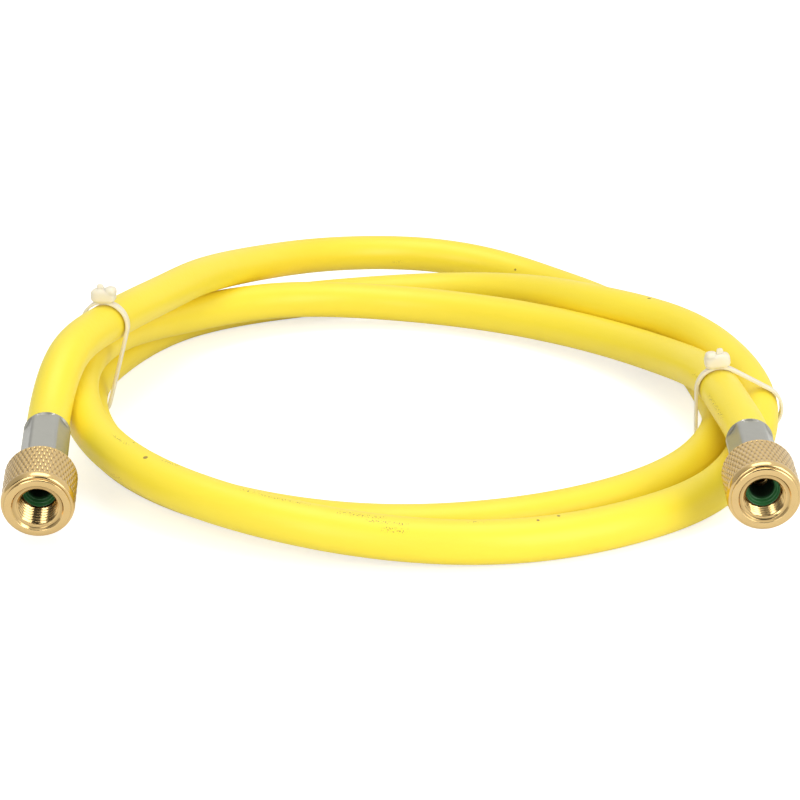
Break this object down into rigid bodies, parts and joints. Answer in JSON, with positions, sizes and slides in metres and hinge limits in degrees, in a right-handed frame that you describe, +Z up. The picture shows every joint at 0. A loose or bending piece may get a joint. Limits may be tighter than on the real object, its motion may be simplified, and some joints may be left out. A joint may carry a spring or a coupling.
{
  "type": "refrigerant charging hose",
  "caption": "Yellow charging hose in a loose tied coil with knurled brass swivel nuts, crimped steel ferrules and green gaskets at its ends.",
  "frame": {"origin": "middle of the coil's bounding box on the surface it lies on", "axes": "+Z up, +Y to the back of the coil, -Y the way both end nuts point, +X to the right as the nuts are seen from the front"},
  "size_m": [0.2157, 0.2471, 0.0433],
  "materials": {
    "hose_rubber": "satin yellow extruded rubber",
    "ferrule_left_steel": "satin zinc-plated, crimped",
    "ferrule_right_steel": "satin zinc-plated, crimped",
    "stem_left_brass": "turned, bright",
    "stem_right_brass": "turned, bright",
    "gasket_left_rubber": "smooth green rubber",
    "gasket_right_rubber": "smooth green rubber",
    "nut_left_brass": "turned and knurled, bright",
    "nut_right_brass": "turned and knurled, bright",
    "tie_left_nylon": "translucent natural nylon",
    "tie_right_nylon": "translucent natural nylon"
  },
  "bodies": {
    "hose_body": {"hose": "hose_rubber", "ferrule_left": "ferrule_left_steel", "ferrule_right": "ferrule_right_steel", "stem_left": "stem_left_brass", "stem_right": "stem_right_brass", "gasket_left": "gasket_left_rubber", "gasket_right": "gasket_right_rubber", "tie_left": "tie_left_nylon", "tie_right": "tie_right_nylon"},
    "left_nut": {"nut_left": "nut_left_brass"},
    "right_nut": {"nut_right": "nut_right_brass"}
  },
  "joints": [
    {"name": "left_nut_spin", "type": "hinge", "parent": "hose_body", "child": "left_nut", "pos_m": [-0.09778, -0.10325, 0.01518], "axis": [0.0655, -0.9855, -0.1564], "continuous": true},
    {"name": "right_nut_spin", "type": "hinge", "parent": "hose_body", "child": "right_nut", "pos_m": [0.09152, -0.10775, 0.01904], "axis": [-0.0244, -0.9983, -0.0523], "continuous": true}
  ]
}
